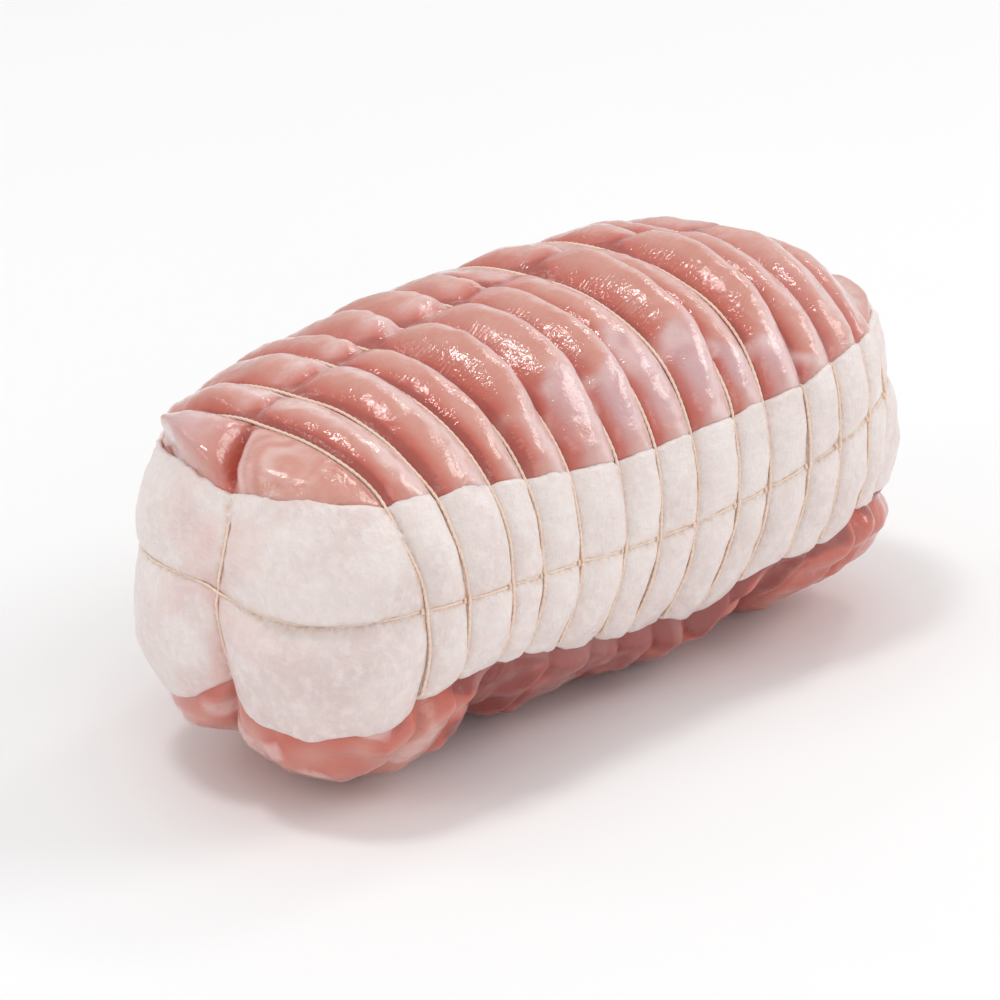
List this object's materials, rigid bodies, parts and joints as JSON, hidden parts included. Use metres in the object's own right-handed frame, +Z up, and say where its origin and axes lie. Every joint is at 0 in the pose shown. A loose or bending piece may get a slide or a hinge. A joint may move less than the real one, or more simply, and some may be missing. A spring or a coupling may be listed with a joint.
{
  "type": "turkey breast roast",
  "caption": "Raw boneless turkey breast roast, rolled, belted with pale skin fat and tied with loops of twine into a bulging loaf.",
  "frame": {"origin": "middle of the bounding box at its lowest level, where the roast rests", "axes": "+X along the loaf from the near end with the large pillows to the far end, +Z up, the side that the picture shows faces -Y"},
  "size_m": [0.2086, 0.1102, 0.0962],
  "materials": {
    "raw_meat": "wet, translucent raw poultry meat, salmon pink, darker red in the creases",
    "skin_fat": "pale pinkish-white skin fat with a satin, faintly fibrous surface",
    "twine": "thin tan two-ply butcher's twine, slightly wet"
  },
  "bodies": {
    "root": {"turkey_meat": "raw_meat", "fat_band": "skin_fat", "twine_level": "twine", "twine_upright": "twine", "twine_loop_01": "twine", "twine_loop_02": "twine", "twine_loop_03": "twine", "twine_loop_04": "twine", "twine_loop_05": "twine", "twine_loop_06": "twine", "twine_loop_07": "twine", "twine_loop_08": "twine", "twine_loop_09": "twine", "twine_loop_10": "twine", "twine_loop_11": "twine", "twine_loop_12": "twine", "twine_loop_13": "twine", "twine_loop_14": "twine"}
  },
  "joints": []
}
